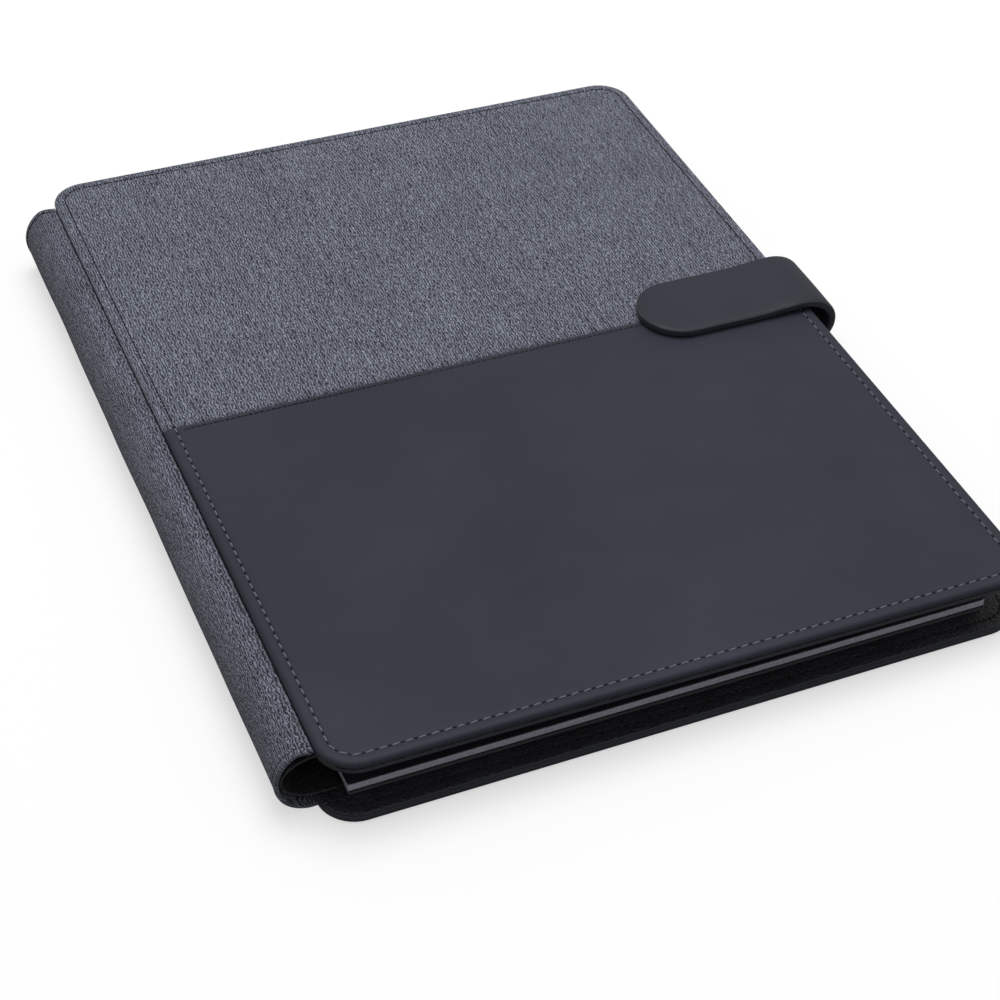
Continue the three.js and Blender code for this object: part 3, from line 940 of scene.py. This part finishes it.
def dress(node, material):
    """Gives a CAD node a finished material."""
    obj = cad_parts[node]
    if not obj.material_slots:
        obj.data.materials.append(material)
    for place in obj.material_slots:
        place.material = material


smooth_skin()
fabric_skin()
back_skin()
lining_sheet("front_lining_sheet", FRONT_LINING_PROFILE, on_front, "front_cover", "front_lining", 8.0)
lining_sheet("back_lining_sheet", LINING_PROFILE, on_back, "back", "back_lining", 9.0)
cover_stitches()
spine()
strap()
document_pocket()
card_slots()
slot_panel()
pen_loop()
pad_sheets()
for node_name, node_material in {
    "front_board": STIFFENER_SKIN,
    "back_board": STIFFENER_SKIN,
    "front_keeper_plate": STEEL_SKIN,
    "strap_magnet": STEEL_SKIN,
    "pad_backing_board": BOARD_PAINTED_SHADE_SKIN,
    "pad_cover_sheet": PAD_COVER_PAINTED_SHADE_SKIN,
    "pad_binding_tape": TAPE_SKIN,
}.items():
    dress(node_name, node_material)


# Floor, lights and camera

def make_floor():
    """A pale floor. The camera sees it brighter, as a share of plain glow, than the part does."""
    mesh = bpy.data.meshes.new("floor")
    half = 4.0
    corners = [(-half, -half, 0), (half, -half, 0), (half, half, 0), (-half, half, 0)]
    mesh.from_pydata(corners, [], [(0, 1, 2, 3)])
    obj = bpy.data.objects.new("floor", mesh)
    bpy.context.collection.objects.link(obj)
    n = Nodes("floor_white")
    seen = n.add("ShaderNodeLightPath").outputs["Is Camera Ray"]
    matt = n.add("ShaderNodeBsdfPrincipled", {
        "Base Color": n.ramp(seen, [(0.0, FLOOR_BOUNCE), (1.0, FLOOR)]),
        "Roughness": 1.0,
        "Specular IOR Level": 0.0,
    })
    glow = n.add("ShaderNodeEmission", {"Color": (1.0, 1.0, 1.0, 1.0), "Strength": 1.0})
    both = n.add("ShaderNodeMixShader", {
        0: n.math("MULTIPLY", seen, FLOOR_GLOW), 1: matt.outputs[0], 2: glow.outputs[0],
    })
    obj.data.materials.append(n.surface(both))


def area_light(name, place, size, power):
    """A round soft light that points at the middle of the case."""
    light = bpy.data.lights.new(name, "AREA")
    light.shape = "DISK"
    light.size = size
    light.energy = power
    obj = bpy.data.objects.new(name, light)
    bpy.context.collection.objects.link(obj)
    obj.location = place
    obj.rotation_euler = (-Vector(place)).to_track_quat("-Z", "Y").to_euler()


def make_world(strength):
    world = bpy.data.worlds.new("studio")
    world.use_nodes = True
    world.node_tree.nodes["Background"].inputs["Color"].default_value = (1, 1, 1, 1)
    world.node_tree.nodes["Background"].inputs["Strength"].default_value = strength
    bpy.context.scene.world = world


# The camera that fits the photograph looks at a point on the front cover
PHOTO_WIDTH = 1000
CAMERA_FOCAL_PIXELS = 2307.6
CAMERA_AZIMUTH = math.radians(-23.865)
CAMERA_ELEVATION = math.radians(41.32)
CAMERA_ROLL = math.radians(1.817)
CAMERA_TARGET = on_base(88.43, 88.40, CLOSED_HEIGHT)
CAMERA_DISTANCE = 0.72237
SENSOR = 36.0


def make_camera():
    camera = bpy.data.cameras.new("camera")
    camera.sensor_width = SENSOR
    camera.sensor_fit = "HORIZONTAL"
    camera.lens = CAMERA_FOCAL_PIXELS * SENSOR / PHOTO_WIDTH
    camera.clip_start = 0.01
    obj = bpy.data.objects.new("camera", camera)
    bpy.context.collection.objects.link(obj)
    back = Vector((
        math.sin(CAMERA_AZIMUTH) * math.cos(CAMERA_ELEVATION),
        -math.cos(CAMERA_AZIMUTH) * math.cos(CAMERA_ELEVATION),
        math.sin(CAMERA_ELEVATION),
    ))
    right = (-back).cross(Vector((0, 0, 1))).normalized()
    up = back.cross(right)
    rolled_right = right * math.cos(CAMERA_ROLL) + up * math.sin(CAMERA_ROLL)
    rolled_up = up * math.cos(CAMERA_ROLL) - right * math.sin(CAMERA_ROLL)
    turn = Matrix((rolled_right, rolled_up, back)).transposed().to_4x4()
    obj.matrix_world = Matrix.Translation(CAMERA_TARGET + back * CAMERA_DISTANCE) @ turn
    bpy.context.scene.camera = obj


make_floor()
make_world(0.45)
area_light("key", (0.3, 0.4, 1.95), 1.5, 22)
area_light("fill", (-0.3, 0.3, 2.0), 1.2, 6)
make_camera()
bpy.context.scene.view_settings.view_transform = "Standard"
